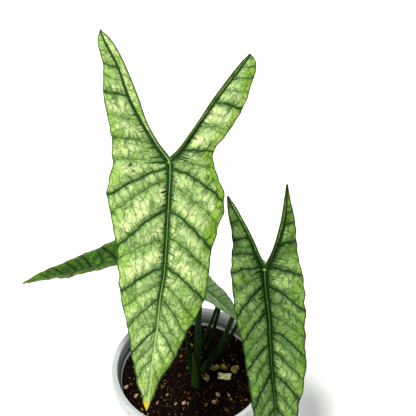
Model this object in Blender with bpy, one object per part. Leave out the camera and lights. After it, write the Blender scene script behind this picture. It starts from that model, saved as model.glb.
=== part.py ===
"""A potted alocasia with four arrow-shaped leaves, in a plain plastic nursery pot.

Metres, +Z up. The origin is the middle of the pot's underside. The plant's face looks along -Y.
"""

import math

import bmesh
import bpy
import numpy as np
from mathutils import Vector

MM = 0.001
GAP = 0.3 * MM  # left between pieces that touch

# The pot
POT_HEIGHT = 105 * MM
RIM_RADIUS = 60 * MM
RIM_DROP = 12 * MM
RIM_WALL = 4.6 * MM
POT_WALL = 1.6 * MM
FOOT_RADIUS = 42 * MM
FOOT_RING_INNER = 36 * MM
PAD_RADIUS = 14 * MM
FLOOR_LIFT = 3 * MM
FLOOR_THICKNESS = 2.2 * MM
POT_SIDES = 48
DRAIN_HOLES = 6
DRAIN_RADIUS = 4 * MM
DRAIN_CIRCLE = 25 * MM

# The potting mix
SOIL_LEVEL = 91 * MM
SOIL_CROWN = 1.5 * MM
SOIL_LUMP = 0.7 * MM
SOIL_GAP = 0.4 * MM  # to the pot
SOIL_SIDES = 40
SOIL_RINGS = 8

# The rootstock, under the stalks
CORM_CENTRE = Vector((6, 4, 72)) * MM
CORM_RADII = Vector((13, 14, 13)) * MM
ROOT_RADIUS = 1.3 * MM

BLADE_THICKNESS = 0.8 * MM
BLADE_STEPS = 2  # stations to each row of an outline
BLADE_CROSS = 3  # strips between a rib and its margin
LOBE_EDGE_FOLD = 50  # degrees that the strip inside each lobe's rib stands up
WELD = 0.01 * MM

# Outlines of the two leaf forms, in mm. p runs across the leaf and q from the notch to the tip.
# A lobe's rows go from its tip to the notch: rib, outer margin, inner margin.
# The body's rows go from the notch to the tip: midrib, left margin, right margin.
BROAD_LEFT_LOBE = [
    (-44, -68, -44, -68, -44, -68),
    (-41, -62, -45, -61, -38, -64),
    (-37, -56, -43, -56, -33, -58),
    (-32, -48, -41, -50, -28, -50),
    (-25, -33, -39, -35, -20, -35),
    (-17, -21, -36, -23, -14, -21),
    (-8, -9, -33, -11, -6, -9),
    (0, 0, -31, 3, 0, -2),
]
BROAD_RIGHT_LOBE = [
    (39, -63, 39, -63, 39, -63),
    (37, -59, 41, -59, 36, -60),
    (34, -54, 41, -55, 33, -56),
    (30, -48, 40, -50, 29, -50),
    (22, -35, 36, -32, 21, -37),
    (14, -21, 31, -21, 14, -24),
    (6, -7, 24, -8, 6, -10),
    (0, 0, 26, 1, 0, -2),
]
BROAD_BODY = [
    (0, 0, -31, 3, 26, 1),
    (1, 4, -31, 20, 32, 24),
    (2, 27, -25, 48, 30, 50),
    (3, 60, -20, 78, 25, 82),
    (2, 78, -15, 97, 21, 100),
    (2, 96, -11, 114, 15, 117),
    (1, 116, -7, 129, 8, 130),
    (1, 136, -3, 143, 3, 142),
    (0, 151, 0, 151, 0, 151),
]
SLIM_LEFT_LOBE = [
    (-20, -46, -20, -46, -20, -46),
    (-17, -39, -20, -39, -16, -41),
    (-13, -31, -19, -30, -12, -33),
    (-8, -20, -18, -20, -7, -22),
    (-4, -9, -19, -12, -3, -11),
    (0, 0, -20, -1, 0, -2),
]
SLIM_RIGHT_LOBE = [
    (17, -51, 17, -51, 17, -51),
    (16, -43, 18, -43, 15, -44),
    (15, -34, 19, -35, 13, -35),
    (13, -26, 20, -29, 11, -27),
    (8, -13, 20, -18, 7, -15),
    (3, -4, 21, -6, 3, -6),
    (0, 0, 23, 3, 0, -2),
]
SLIM_BODY = [
    (0, 0, -20, -1, 23, 3),
    (0, 11, -19, 26, 23, 24),
    (1, 27, -16, 42, 22, 40),
    (1, 38, -15, 51, 22, 52),
    (1, 47, -14, 60, 21, 62),
    (1, 66, -12, 85, 17, 80),
    (2, 88, -9, 103, 12, 102),
    (1, 108, -4, 117, 6, 117),
    (0, 130, 0, 130, 0, 130),
]
BROAD_LEAF = (BROAD_LEFT_LOBE, BROAD_RIGHT_LOBE, BROAD_BODY)
SLIM_LEAF = (SLIM_LEFT_LOBE, SLIM_RIGHT_LOBE, SLIM_BODY)

# Each leaf: its form and size, where its notch and tip are, which way its upper face looks,
# how far its halves rise from the midrib, how it bows, and how far its lobes lean back.
LEAVES = {
    "front_leaf": dict(form=BROAD_LEAF, size=1.0, notch=(-9, -41, 331), tip=(-24, -110, 197),
                       faces=(0.02, -0.89, 0.46), fold=6, swell=2.5, bow=6, lean=9),
    "right_leaf": dict(form=SLIM_LEAF, size=1.0, notch=(47, -45, 251), tip=(56, -111, 139),
                       faces=(-0.05, -0.86, 0.5), fold=14, swell=1.5, bow=5, lean=5),
    "left_leaf": dict(form=BROAD_LEAF, size=0.575, notch=(-33, -15, 235), tip=(-113, -9, 202),
                      faces=(-0.36, 0.25, 0.88), fold=16, swell=1.5, bow=-1, lean=3),
    "back_leaf": dict(form=BROAD_LEAF, size=0.34, notch=(4, -15, 209), tip=(39, -21, 172),
                      faces=(0.5, -0.1, 0.8), fold=12, swell=0.8, bow=1, lean=1),
}

# Each stalk in mm: the radius at its foot and at its top, and the points that it passes.
# A leaf's stalk ends just behind its notch. A cut stalk ends in the air.
STALKS = {
    "front_leaf_stalk": (2.7, 1.6, [(4, -7, 78), (4, -7, 92), (5, -5, 130), (6, -3, 165), (7, -2, 225),
                                    (4, -6, 268), (-1, -17, 305), (-7, -31, 324)]),
    "right_leaf_stalk": (2.2, 1.3, [(8, 5, 78), (10, 5, 92), (16, 2, 112), (23, -1, 133),
                                    (32, -9, 176), (41, -17, 215), (46, -28, 240), (47, -37, 248)]),
    "left_leaf_stalk": (1.8, 1.2, [(0, 4, 76), (0, 4, 92), (-1, 4, 110), (-3, 3, 133),
                                   (-8, 2, 165), (-16, -2, 198), (-24, -8, 219), (-30, -13, 231)]),
    "back_leaf_stalk": (1.5, 0.9, [(1, 11, 78), (3, 11, 92), (7, 10, 112), (12, 9, 132),
                                   (18, 9, 155), (20, 7, 170), (17, 1, 186), (10, -8, 200), (5, -14, 206)]),
    "cut_stalk_1": (1.5, 1.2, [(9, 14, 78), (10, 15, 92), (17, 15, 129), (20, 14, 146), (21, 14, 154)]),
    "cut_stalk_2": (1.5, 1.2, [(14, 10, 78), (16, 10, 92), (27, 7, 123), (35, 5, 148), (36, 5, 152)]),
}
STALK_STEPS = 3
STALK_SIDES = 8
BURIED_POINTS = 2

# Roots in mm: the points that each passes, from inside the corm
ROOTS = [
    [(6, 4, 66), (-2, -5, 52), (-10, -17, 36), (-12, -23, 18)],
    [(6, 4, 66), (14, -6, 54), (26, -15, 42), (32, -19, 26)],
    [(6, 4, 66), (18, 11, 52), (26, 21, 36), (22, 25, 20)],
    [(6, 4, 66), (-2, 15, 56), (-16, 23, 44), (-24, 21, 28)],
    [(6, 4, 66), (-7, 3, 60), (-24, -1, 48), (-34, -7, 34)],
]
ROOT_SIDES = 6

# Sheaths round the foot of a stalk, in mm: its stalk, its lowest and highest level, the gap that it
# leaves to the stalk, and the arc that it covers, in degrees from +X
SHEATHS = {
    "front_leaf_sheath": ("front_leaf_stalk", 94, 128, 0.5, (120, 300)),
    "right_leaf_sheath": ("right_leaf_stalk", 95, 118, 0.5, (150, 320)),
}
SHEATH_THICKNESS = 0.6 * MM
SHEATH_LEVELS = 6
SHEATH_ARC_STEPS = 8

# Loose bits on the mix, in mm: length, width, height, place and turn in degrees
LOOSE_BITS = {
    "pale_wood_chip": (9.5, 5.0, 2.2, (25, -2), -8),
    "bark_bit_1": (8.0, 4.5, 3.0, (17, 6), 15),
    "bark_bit_2": (5.5, 3.5, 2.4, (25, 7), -30),
    "bark_bit_3": (6.5, 5.0, 3.2, (33, 5), 60),
    "dry_husk": (7.0, 5.0, 3.4, (11, -4), -60),
    "grit_stone_1": (3.2, 2.6, 2.0, (-49, -11), 20),
    "grit_stone_2": (3.4, 2.4, 2.0, (-5, -26), 35),
    "grit_stone_3": (3.0, 2.4, 1.9, (20, -19), -25),
    "grit_stone_4": (3.0, 2.2, 1.8, (-41, -19), 70),
    "grit_stone_5": (2.8, 2.3, 1.8, (17, -25), 0),
}

COLOURS = {
    "pot": (0.62, 0.66, 0.66),
    "soil": (0.035, 0.02, 0.012),
    "rootstock": (0.42, 0.30, 0.16),
    "blade": (0.30, 0.45, 0.16),
    "stalk": (0.08, 0.18, 0.03),
    "sheath": (0.16, 0.20, 0.06),
    "wood": (0.62, 0.58, 0.36),
    "bark": (0.38, 0.27, 0.08),
    "stone": (0.55, 0.45, 0.32),
}


def make_material(name, roughness):
    material = bpy.data.materials.new(name)
    material.use_nodes = True
    shader = material.node_tree.nodes["Principled BSDF"]
    shader.inputs["Base Color"].default_value = (*COLOURS[name], 1)
    shader.inputs["Roughness"].default_value = roughness
    shader.inputs["Metallic"].default_value = 0
    return material


def add_object(name, shape, material=None, smooth=True):
    """The bmesh shape as an object of the scene, closed, with its faces pointing out."""
    bmesh.ops.remove_doubles(shape, verts=shape.verts, dist=0.002 * MM)
    bmesh.ops.recalc_face_normals(shape, faces=shape.faces)
    mesh = bpy.data.meshes.new(name)
    shape.to_mesh(mesh)
    shape.free()
    if smooth:
        mesh.shade_smooth()
        mesh.set_sharp_from_angle(angle=math.radians(40))
    if material:
        mesh.materials.append(material)
    obj = bpy.data.objects.new(name, mesh)
    bpy.context.scene.collection.objects.link(obj)
    return obj


def add_cutter(name, shape):
    cutter = add_object(name, shape, smooth=False)
    cutter.hide_render = True
    cutter.display_type = "WIRE"
    return cutter


def cut(obj, cutter, operation="DIFFERENCE"):
    boolean = obj.modifiers.new(cutter.name, "BOOLEAN")
    boolean.operation = operation
    boolean.solver = "EXACT"
    boolean.object = cutter


def smooth_rows(rows, steps):
    """A Catmull-Rom curve through rows of numbers, with so many steps to each of its spans."""
    rows = np.array(rows, float)
    guides = np.vstack([2 * rows[0] - rows[1], rows, 2 * rows[-1] - rows[-2]])
    curve = []
    for before, start, end, after in zip(guides, guides[1:], guides[2:], guides[3:]):
        for t in np.arange(steps) / steps:
            bend = 2 * before - 5 * start + 4 * end - after
            turn = 3 * start - before - 3 * end + after
            curve.append(start + 0.5 * (t * (end - before) + t**2 * bend + t**3 * turn))
    return np.array(curve + [rows[-1]])


def add_tube(shape, points, radii, sides):
    """A closed tube through the points, with a radius at each."""
    points = [Vector(p) for p in points]
    radii = [float(radius) for radius in radii]
    side = Vector((1, 0, 0))
    rings = []
    for i, (point, radius) in enumerate(zip(points, radii)):
        along = (points[min(i + 1, len(points) - 1)] - points[max(i - 1, 0)]).normalized()
        side = (side - side.project(along)).normalized()
        other = along.cross(side)
        angles = [2 * math.pi * k / sides for k in range(sides)]
        rings.append([
            shape.verts.new(point + radius * (math.cos(a) * side + math.sin(a) * other)) for a in angles
        ])
    for low, high in zip(rings, rings[1:]):
        for k in range(sides):
            shape.faces.new((low[k], low[k - 1], high[k - 1], high[k]))
    shape.faces.new(rings[0])
    shape.faces.new(rings[-1])


def add_turned(shape, profile, sides):
    """A closed solid turned round Z from (radius, height) points that start and end on the axis."""
    rings = []
    for radius, height in profile:
        if radius == 0:
            rings.append([shape.verts.new((0, 0, height))] * sides)
            continue
        angles = [2 * math.pi * k / sides for k in range(sides)]
        rings.append([
            shape.verts.new((radius * math.cos(a), radius * math.sin(a), height)) for a in angles
        ])
    for low, high in zip(rings, rings[1:]):
        for k in range(sides):
            corners = list(dict.fromkeys((low[k - 1], low[k], high[k], high[k - 1])))
            shape.faces.new(corners)


def inner_radius(height):
    """The radius of the pot's inner wall at a height above its floor."""
    top = RIM_RADIUS - RIM_WALL
    low = FOOT_RADIUS - POT_WALL
    return low + (top - low) * height / POT_HEIGHT


def make_pot():
    floor = FLOOR_LIFT + FLOOR_THICKNESS
    pad_top = FLOOR_THICKNESS
    rim_low = POT_HEIGHT - RIM_DROP
    profile = [
        (0, 0),
        (PAD_RADIUS, 0),
        (PAD_RADIUS + 2 * MM, FLOOR_LIFT),
        (FOOT_RING_INNER - 2 * MM, FLOOR_LIFT),
        (FOOT_RING_INNER, 0),
        (FOOT_RADIUS - 1 * MM, 0),
        (FOOT_RADIUS, 1 * MM),
        (inner_radius(rim_low) + POT_WALL, rim_low),
        (RIM_RADIUS - 2.2 * MM, rim_low),
        (RIM_RADIUS - 0.6 * MM, rim_low + 0.6 * MM),
        (RIM_RADIUS, rim_low + 2 * MM),
        (RIM_RADIUS, POT_HEIGHT - 1.6 * MM),
        (RIM_RADIUS - 0.6 * MM, POT_HEIGHT - 0.4 * MM),
        (RIM_RADIUS - 1.8 * MM, POT_HEIGHT),
        (RIM_RADIUS - RIM_WALL + 1 * MM, POT_HEIGHT),
        (RIM_RADIUS - RIM_WALL, POT_HEIGHT - 1 * MM),
        (inner_radius(pad_top), pad_top),
        (FOOT_RING_INNER - 0.4 * MM, pad_top),
        (FOOT_RING_INNER - 1.6 * MM, floor),
        (PAD_RADIUS + 1.6 * MM, floor),
        (PAD_RADIUS + 0.4 * MM, pad_top),
        (0, pad_top),
    ]
    shape = bmesh.new()
    add_turned(shape, profile, POT_SIDES)
    pot = add_object("pot", shape, make_material("pot", 0.45))
    for i in range(DRAIN_HOLES):
        turn = 2 * math.pi * i / DRAIN_HOLES + math.pi / POT_SIDES
        centre = Vector((math.cos(turn), math.sin(turn), 0)) * DRAIN_CIRCLE
        shape = bmesh.new()
        add_tube(shape, [centre, centre + Vector((0, 0, 2 * floor))], [DRAIN_RADIUS] * 2, 12)
        cut(pot, add_cutter(f"drain_hole_cutter_{i + 1}", shape))


def soil_height(x, y):
    """The level of the potting mix: crowned, with soft lumps that fade at the pot's wall."""
    inside = 1 - (math.hypot(x, y) / (RIM_RADIUS - RIM_WALL)) ** 2
    lumps = math.sin(x / (7 * MM) + 1) * math.cos(y / (6 * MM)) + math.sin((x - y) / (4 * MM))
    return SOIL_LEVEL + inside * (SOIL_CROWN + SOIL_LUMP * lumps)


def add_corm(shape, margin):
    bmesh.ops.create_uvsphere(shape, u_segments=16, v_segments=10, radius=1)
    for vert in shape.verts:
        grown = CORM_RADII + Vector((margin, margin, margin))
        vert.co = CORM_CENTRE + Vector([c * r for c, r in zip(vert.co, grown)])


def root_points(root):
    points = smooth_rows(root, 2) * MM
    taper = np.linspace(1, 0.5, len(points))
    return points, ROOT_RADIUS * taper


def stalk_points(name):
    foot, top, points = STALKS[name]
    points = smooth_rows(points, STALK_STEPS) * MM
    radii = np.interp(np.linspace(0, 1, len(points)), (0, 1), (foot, top)) * MM
    return points, radii


def make_rootstock():
    shape = bmesh.new()
    add_corm(shape, 0)
    rootstock = add_object("rootstock", shape, make_material("rootstock", 0.8))
    for i, root in enumerate(ROOTS):
        points, radii = root_points(root)
        shape = bmesh.new()
        add_tube(shape, points, radii, ROOT_SIDES)
        cut(rootstock, add_cutter(f"root_{i + 1}", shape), "UNION")


def make_soil():
    """The mix fills the pot up to its level, with room for the rootstock and the buried stalks."""
    floor = FLOOR_LIFT + FLOOR_THICKNESS + SOIL_GAP
    pad_top = FLOOR_THICKNESS + SOIL_GAP
    profile = [
        (0, pad_top),
        (PAD_RADIUS, pad_top),
        (PAD_RADIUS + 1.2 * MM, floor),
        (FOOT_RING_INNER - 1.2 * MM, floor),
        (FOOT_RING_INNER, pad_top),
        (inner_radius(pad_top) - SOIL_GAP, pad_top),
    ]
    edge = inner_radius(SOIL_LEVEL) - SOIL_GAP
    profile += [(edge * (1 - i / SOIL_RINGS), SOIL_LEVEL) for i in range(SOIL_RINGS + 1)]
    shape = bmesh.new()
    add_turned(shape, profile, SOIL_SIDES)
    for vert in shape.verts:
        if vert.co.z > SOIL_LEVEL - MM:
            vert.co.z = soil_height(vert.co.x, vert.co.y)
    soil = add_object("soil", shape, make_material("soil", 0.95))

    shape = bmesh.new()
    add_corm(shape, GAP)
    cut(soil, add_cutter("corm_room", shape))
    for i, root in enumerate(ROOTS):
        points, radii = root_points(root)
        end = Vector(points[-1]) + (Vector(points[-1]) - Vector(points[-2])).normalized() * GAP
        points[-1] = end
        shape = bmesh.new()
        add_tube(shape, points, radii + GAP, ROOT_SIDES)
        cut(soil, add_cutter(f"root_room_{i + 1}", shape))
    for name in STALKS:
        points, radii = stalk_points(name)
        shape = bmesh.new()
        few = BURIED_POINTS * STALK_STEPS
        add_tube(shape, points[:few], radii[:few] + GAP, STALK_SIDES)
        cut(soil, add_cutter(f"{name}_room", shape))


def make_stalks():
    """Each stalk stands on the corm and ends just behind its leaf's notch."""
    material = make_material("stalk", 0.4)
    shape = bmesh.new()
    add_corm(shape, GAP)
    crown = add_cutter("corm_clearance", shape)
    for name in STALKS:
        points, radii = stalk_points(name)
        shape = bmesh.new()
        add_tube(shape, points, radii, STALK_SIDES)
        cut(add_object(name, shape, material), crown)


def make_sheath(name):
    """A thin curved skin that stands round the foot of a stalk."""
    stalk, low, high, gap, arc = SHEATHS[name]
    points, radii = stalk_points(stalk)
    shape = bmesh.new()
    rows = []
    for i in range(SHEATH_LEVELS + 1):
        level = (low + (high - low) * i / SHEATH_LEVELS) * MM
        centre = Vector([np.interp(level, points[:, 2], points[:, axis]) for axis in (0, 1)] + [level])
        narrowing = 1 - 0.75 * (i / SHEATH_LEVELS) ** 2
        radius = float(np.interp(level, points[:, 2], radii)) + gap * MM + SHEATH_THICKNESS / 2
        middle = math.radians(sum(arc) / 2)
        half = math.radians(arc[1] - arc[0]) / 2 * narrowing
        rows.append([])
        for k in range(SHEATH_ARC_STEPS + 1):
            angle = middle + half * (2 * k / SHEATH_ARC_STEPS - 1)
            rows[-1].append(shape.verts.new(centre + radius * Vector((math.cos(angle), math.sin(angle), 0))))
    for low_row, high_row in zip(rows, rows[1:]):
        for k in range(SHEATH_ARC_STEPS):
            shape.faces.new((low_row[k], low_row[k + 1], high_row[k + 1], high_row[k]))
    sheath = add_object(name, shape, bpy.data.materials["sheath"])
    skin = sheath.modifiers.new("skin", "SOLIDIFY")
    skin.thickness = SHEATH_THICKNESS
    skin.offset = 0


def leaf_frame(leaf):
    """The notch, and unit vectors across the leaf, along it, and out of its upper face."""
    notch = np.array(leaf["notch"]) * MM
    along = np.array(leaf["tip"]) * MM - notch
    along /= np.linalg.norm(along)
    out = np.array(leaf["faces"]) - np.dot(leaf["faces"], along) * along
    out /= np.linalg.norm(out)
    return notch, np.cross(out, along), along, out


def leaf_point(leaf, p, q, rise):
    """A point of the blade in the pot's frame, from its place on the flat outline and its rise."""
    lobes, _, body = leaf["form"]
    length = body[-1][1] if q > 0 else -lobes[0][1]
    share = q / length
    bend = leaf["bow"] * math.sin(math.pi * share) if q > 0 else -leaf["lean"] * share**2
    notch, across, along, out = leaf_frame(leaf)
    height = leaf["size"] * rise + bend
    return notch + (leaf["size"] * (p * across + q * along) + height * out) * MM


def strip_points(leaf, rib, edge, fold, swell):
    """One line of the blade, from a rib to an edge: it rises from the rib and swells in between."""
    width = math.hypot(*(edge - rib))
    line = []
    for share in np.linspace(0, 1, BLADE_CROSS + 1):
        p, q = rib + (edge - rib) * share
        rise = math.tan(math.radians(fold)) * width * share + swell * math.sin(math.pi * share)
        line.append(Vector(leaf_point(leaf, p, q, rise)))
    return line


def add_sheet(shape, lines):
    """Faces between each line of points and the next."""
    rows = [[shape.verts.new(point) for point in line] for line in lines]
    for row, following in zip(rows, rows[1:]):
        for k in range(len(row) - 1):
            shape.faces.new((row[k], row[k + 1], following[k + 1], following[k]))


def make_blade(name, leaf, material):
    """Each half is a sheet from the ribs to the outer margin; a narrow strip edges each lobe inside."""
    left_lobe, right_lobe, body = [np.array(rows, float) for rows in leaf["form"]]
    midrib = smooth_rows(body[:, :2], BLADE_STEPS)
    shape = bmesh.new()
    for lobe, margin_column in ((left_lobe, 2), (right_lobe, 4)):
        rib = smooth_rows(lobe[:, :2], BLADE_STEPS)
        inner = smooth_rows(lobe[:, 4:], BLADE_STEPS)
        spine = np.vstack([rib[:-1], midrib])
        margin_rows = np.vstack([lobe[:-1, 2:4], body[:, margin_column:margin_column + 2]])
        margin = smooth_rows(margin_rows, BLADE_STEPS)
        widest = np.hypot(*(margin - spine).T).max()
        lines = []
        for start, end in zip(spine, margin):
            share = math.hypot(*(end - start)) / widest
            lines.append(strip_points(leaf, start, end, leaf["fold"], leaf["swell"] * share))
        add_sheet(shape, lines)
        add_sheet(shape, [strip_points(leaf, a, b, LOBE_EDGE_FOLD, 0) for a, b in zip(rib, inner)])
    bmesh.ops.remove_doubles(shape, verts=shape.verts, dist=WELD)
    bmesh.ops.dissolve_degenerate(shape, edges=shape.edges, dist=WELD)
    blade = add_object(name, shape, material)
    skin = blade.modifiers.new("skin", "SOLIDIFY")
    skin.thickness = BLADE_THICKNESS
    skin.offset = 0


def make_loose_bit(name, material):
    """A rough little block, its corners cut at random, resting on the mix."""
    length, width, height, (x, y), turn = LOOSE_BITS[name]
    generator = np.random.default_rng(sum(map(ord, name)))
    shape = bmesh.new()
    bmesh.ops.create_icosphere(shape, subdivisions=1, radius=0.5)
    size = Vector((length, width, height)) * MM
    for vert in shape.verts:
        rough = generator.uniform(0.85, 1.0)
        vert.co = Vector([c * s * rough for c, s in zip(vert.co, size)])
    low = min(vert.co.z for vert in shape.verts)
    base = max(
        soil_height(x * MM + dx * size.x, y * MM + dy * size.x)
        for dx in (-0.5, 0, 0.5) for dy in (-0.5, 0, 0.5)
    )
    bit = add_object(name, shape, material, smooth=False)
    bit.location = (x * MM, y * MM, base - low + GAP)
    bit.rotation_euler.z = math.radians(turn)


def main():
    for obj in list(bpy.data.objects):
        bpy.data.objects.remove(obj)
    make_pot()
    make_soil()
    make_rootstock()
    make_stalks()
    make_material("sheath", 0.6)
    for name in SHEATHS:
        make_sheath(name)
    blade = make_material("blade", 0.35)
    for name, leaf in LEAVES.items():
        make_blade(f"{name}_blade", leaf, blade)
    wood = make_material("wood", 0.8)
    bark = make_material("bark", 0.9)
    stone = make_material("stone", 0.7)
    for name in LOOSE_BITS:
        kind = wood if "wood" in name else stone if "stone" in name else bark
        make_loose_bit(name, kind)


main()
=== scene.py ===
"""The looks of a potted alocasia: four arrow-shaped leaves in a plain nursery pot.

Metres, +Z up. The pot stands on Z = 0 with its axis on the origin, and the leaves face -Y.
"""

import math

import bmesh
import bpy
import numpy as np
from mathutils import Matrix, Vector, noise


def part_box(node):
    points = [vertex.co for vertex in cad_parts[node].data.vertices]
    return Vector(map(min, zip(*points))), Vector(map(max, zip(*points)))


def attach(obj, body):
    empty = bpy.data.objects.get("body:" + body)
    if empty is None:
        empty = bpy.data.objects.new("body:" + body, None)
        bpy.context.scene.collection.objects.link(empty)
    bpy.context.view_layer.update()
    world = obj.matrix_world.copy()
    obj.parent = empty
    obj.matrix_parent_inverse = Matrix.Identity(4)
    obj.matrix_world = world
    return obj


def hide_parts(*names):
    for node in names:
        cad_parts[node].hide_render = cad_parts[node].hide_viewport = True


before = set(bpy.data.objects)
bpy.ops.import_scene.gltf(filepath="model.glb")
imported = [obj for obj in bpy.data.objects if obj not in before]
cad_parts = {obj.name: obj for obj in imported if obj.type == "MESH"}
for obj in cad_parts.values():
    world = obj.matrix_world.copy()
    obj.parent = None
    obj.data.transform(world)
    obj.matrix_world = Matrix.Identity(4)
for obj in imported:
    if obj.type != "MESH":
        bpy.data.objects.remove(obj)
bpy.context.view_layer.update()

MM = 0.001

# ---------------------------------------------------------------------------------------------
# The place it stands: a pale table top under four lights. One bright lamp shines down from in front
# and a little to the left, and three weak ones fill in from overhead, from the left and from behind.
# Nothing here belongs to the plant.

FLOOR_SIDE = 6.0
FLOOR_WHITE = (0.93, 0.93, 0.92, 1)
FLOOR_GREY = (0.9, 0.9, 0.89, 1)

bpy.ops.object.select_all(action="DESELECT")
bpy.ops.mesh.primitive_plane_add(size=FLOOR_SIDE)
floor = bpy.context.object
floor.name = "floor"


def new_finish(name):
    """An empty node material: its tree and its Principled shader."""
    material = bpy.data.materials.new(name)
    material.use_nodes = True
    return material, material.node_tree, material.node_tree.nodes["Principled BSDF"]


def add_node(tree, kind, sockets=None, **settings):
    """A node of that kind, with its settings, and its inputs set or linked."""
    node = tree.nodes.new(kind)
    for name, value in settings.items():
        setattr(node, name, value)
    for name, value in (sockets or {}).items():
        if isinstance(value, bpy.types.NodeSocket):
            tree.links.new(value, node.inputs[name])
        else:
            node.inputs[name].default_value = value
    return node


def tree_of(*values):
    """The node tree that the first socket among these values belongs to."""
    return next(value.id_data for value in values if isinstance(value, bpy.types.NodeSocket))


def mix_colours(share, first, second, blend="MIX"):
    return add_node(tree_of(share), "ShaderNodeMix", {0: share, 6: first, 7: second},
                    data_type="RGBA", blend_type=blend).outputs[2]


def cloud(vector, scale, detail=2.0, rough=0.5, output=0):
    """Noise from about 0.25 to 0.75, or with output 1 its colour."""
    return add_node(tree_of(vector), "ShaderNodeTexNoise", {
        "Vector": vector, "Scale": scale, "Detail": detail, "Roughness": rough}).outputs[output]


def own_place(tree):
    """Places on the piece itself, in metres."""
    return add_node(tree, "ShaderNodeTexCoord").outputs["Object"]


def complete_finish(shader, colour, roughness, height=None, depth=0.0, strength=0.0, gloss=None):
    """Gives a finish its colour and roughness, and its bumps from a height that changes over it."""
    tree = tree_of(colour)
    tree.links.new(colour, shader.inputs["Base Color"])
    if isinstance(roughness, bpy.types.NodeSocket):
        tree.links.new(roughness, shader.inputs["Roughness"])
    else:
        shader.inputs["Roughness"].default_value = roughness
    if gloss is not None:
        shader.inputs["Specular IOR Level"].default_value = gloss
    if height is not None:
        bump = add_node(tree, "ShaderNodeBump", {"Height": height, "Distance": depth, "Strength": strength})
        tree.links.new(bump.outputs[0], shader.inputs["Normal"])


floor_finish, tree, shader = new_finish("pale_table")
grain = cloud(own_place(tree), 40.0, 4.0)
complete_finish(shader, mix_colours(grain, FLOOR_WHITE, FLOOR_GREY), 0.8)
floor.data.materials.append(floor_finish)

ROOM_STRENGTH = 0.24
world = bpy.data.worlds.new("room")
bpy.context.scene.world = world
world.use_nodes = True
background = world.node_tree.nodes["Background"].inputs
background["Color"].default_value = (0.95, 0.98, 1.0, 1)
background["Strength"].default_value = ROOM_STRENGTH


def add_light(kind, name, place, aim, strength, colour):
    light = bpy.data.lights.new(name, kind)
    light.energy = strength
    light.color = colour
    holder = bpy.data.objects.new(name, light)
    holder.location = place
    holder.rotation_euler = (Vector(aim) - Vector(place)).to_track_quat("-Z", "Y").to_euler()
    bpy.context.scene.collection.objects.link(holder)
    return light


PLANT_MIDDLE = (0.0, -0.04, 0.22)
FLOOR_BEHIND_POT = (0.2, 0.2, 0.0)
SUNNY = (1.0, 0.98, 0.92)
key_light = add_light("SUN", "key_light", (-0.30, -0.59, 1.62), PLANT_MIDDLE, 4.1, SUNNY)
key_light.angle = math.radians(9)
overhead_light = add_light("AREA", "overhead_light", (0.3, -0.2, 1.8), PLANT_MIDDLE, 3.0, (0.95, 0.98, 1.0))
overhead_light.size = 1.4
side_light = add_light("AREA", "side_light", (-0.95, -0.45, 0.6), PLANT_MIDDLE, 5.5, SUNNY)
side_light.size = 0.25
back_light = add_light("AREA", "back_light", (0.75, 0.95, 0.9), FLOOR_BEHIND_POT, 7.0, (1.0, 1.0, 1.0))
back_light.size = 0.9

CAMERA_LENS = 77.9
CAMERA_TILT = 41  # degrees down from level
camera = bpy.data.objects.new("camera", bpy.data.cameras.new("camera"))
camera.data.lens = CAMERA_LENS
camera.data.sensor_width = 36.0
camera.location = (0.0126, -0.434, 0.639)
camera.rotation_euler = (math.radians(90 - CAMERA_TILT), 0, 0)
bpy.context.scene.collection.objects.link(camera)
bpy.context.scene.camera = camera
bpy.context.scene.view_settings.view_transform = "Standard"

# ---------------------------------------------------------------------------------------------
# The nursery pot: one thin moulding of light grey plastic, with a rolled rim, a foot ring, a pad
# in the middle of its floor and six drain holes.

POT_PROFILE = [  # radius and height in mm, from the middle of the underside round to the floor inside
    (0, 0), (13.4, 0), (14, 0.3), (15.8, 2.7), (16.4, 3), (33.6, 3), (34.2, 2.7), (35.6, 0.3), (36.1, 0),
    (41, 0), (41.6, 0.3), (42, 1), (52.9, 90.4), (53.1, 92.6), (53.8, 93), (57.9, 93), (59.2, 93.4),
    (59.8, 94.2), (60, 95.2), (60, 103.2), (59.7, 104.3), (59.1, 104.9), (58.2, 105), (56.6, 105),
    (55.8, 104.7), (55.4, 104), (54.9, 98.6), (54.3, 98), (54.1, 97.2), (40.7, 2.4), (35.8, 2.2), (34.6, 5),
    (34, 5.2), (16, 5.2), (15.4, 5), (14.4, 2.4), (13.9, 2.2), (0, 2.2),
]
POT_STEPS = 144
DRAIN_HOLES = 6
DRAIN_CIRCLE = 25 * MM
DRAIN_RADIUS = 4 * MM
DRAIN_TURN = 0.065
SCUFF_STRETCH = (90, 90, 500)


def select_only(piece):
    bpy.ops.object.select_all(action="DESELECT")
    piece.select_set(True)
    bpy.context.view_layer.objects.active = piece


def apply_modifiers(piece):
    select_only(piece)
    for modifier in list(piece.modifiers):
        bpy.ops.object.modifier_apply(modifier=modifier.name)


def smooth_by_angle(piece, degrees):
    select_only(piece)
    bpy.ops.object.shade_smooth_by_angle(angle=math.radians(degrees))


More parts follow.
